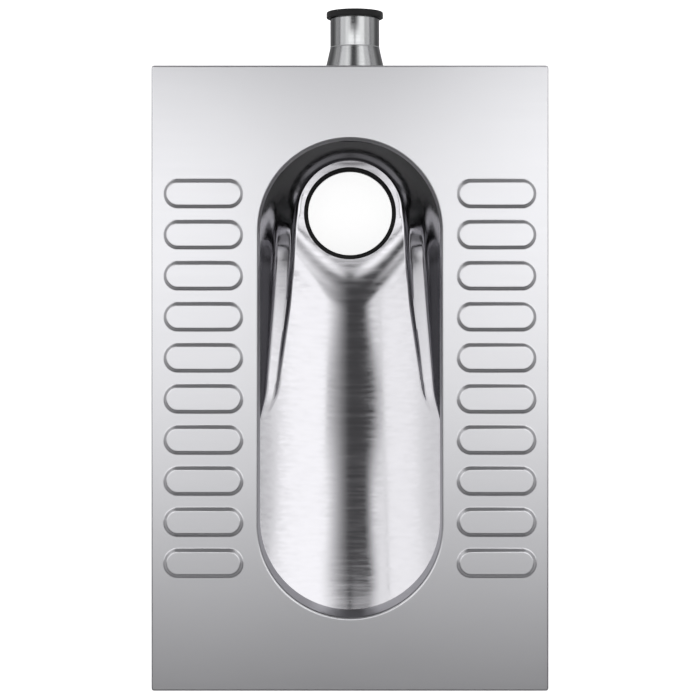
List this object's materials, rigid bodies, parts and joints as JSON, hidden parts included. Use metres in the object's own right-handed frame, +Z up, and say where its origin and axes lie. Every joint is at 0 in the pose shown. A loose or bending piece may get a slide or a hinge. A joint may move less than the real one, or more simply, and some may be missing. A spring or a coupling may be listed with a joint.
{
  "type": "squat toilet pan",
  "caption": "Stainless steel squatting pan to set flush in a floor, with treads each side, a sloping bowl, a bottom outlet and a rear flush inlet.",
  "frame": {"origin": "on the outlet's axis, at the lower end of the outlet spigot", "axes": "+Z up, +Y to the rear where the flush inlet is, +X to the right of a person who looks to the rear"},
  "size_m": [0.4, 0.69, 0.2525],
  "materials": {
    "deck_steel": "satin stainless sheet with a fine grain across the pan",
    "bowl_steel": "bright polished stainless sheet with a fine grain across the bowl",
    "tube_steel": "plain stainless tube, semi-bright",
    "stiffener_steel": "unpolished stainless sheet, mill finish",
    "black_rubber": "matt black moulded rubber"
  },
  "bodies": {
    "root": {"deck_plate": "deck_steel", "bowl": "bowl_steel", "outlet_spigot": "tube_steel", "outlet_backing_ring": "stiffener_steel", "outlet_seal": "black_rubber", "inlet_reducer": "tube_steel", "inlet_tube": "tube_steel", "inlet_cuff": "black_rubber", "tread_rib_left": "stiffener_steel", "tread_rib_right": "stiffener_steel", "front_rib": "stiffener_steel", "rear_rib_left": "stiffener_steel", "rear_rib_right": "stiffener_steel", "anchor_front_left": "stiffener_steel", "anchor_front_right": "stiffener_steel", "anchor_rear_left": "stiffener_steel", "anchor_rear_right": "stiffener_steel", "earthing_tab": "tube_steel"}
  },
  "joints": []
}
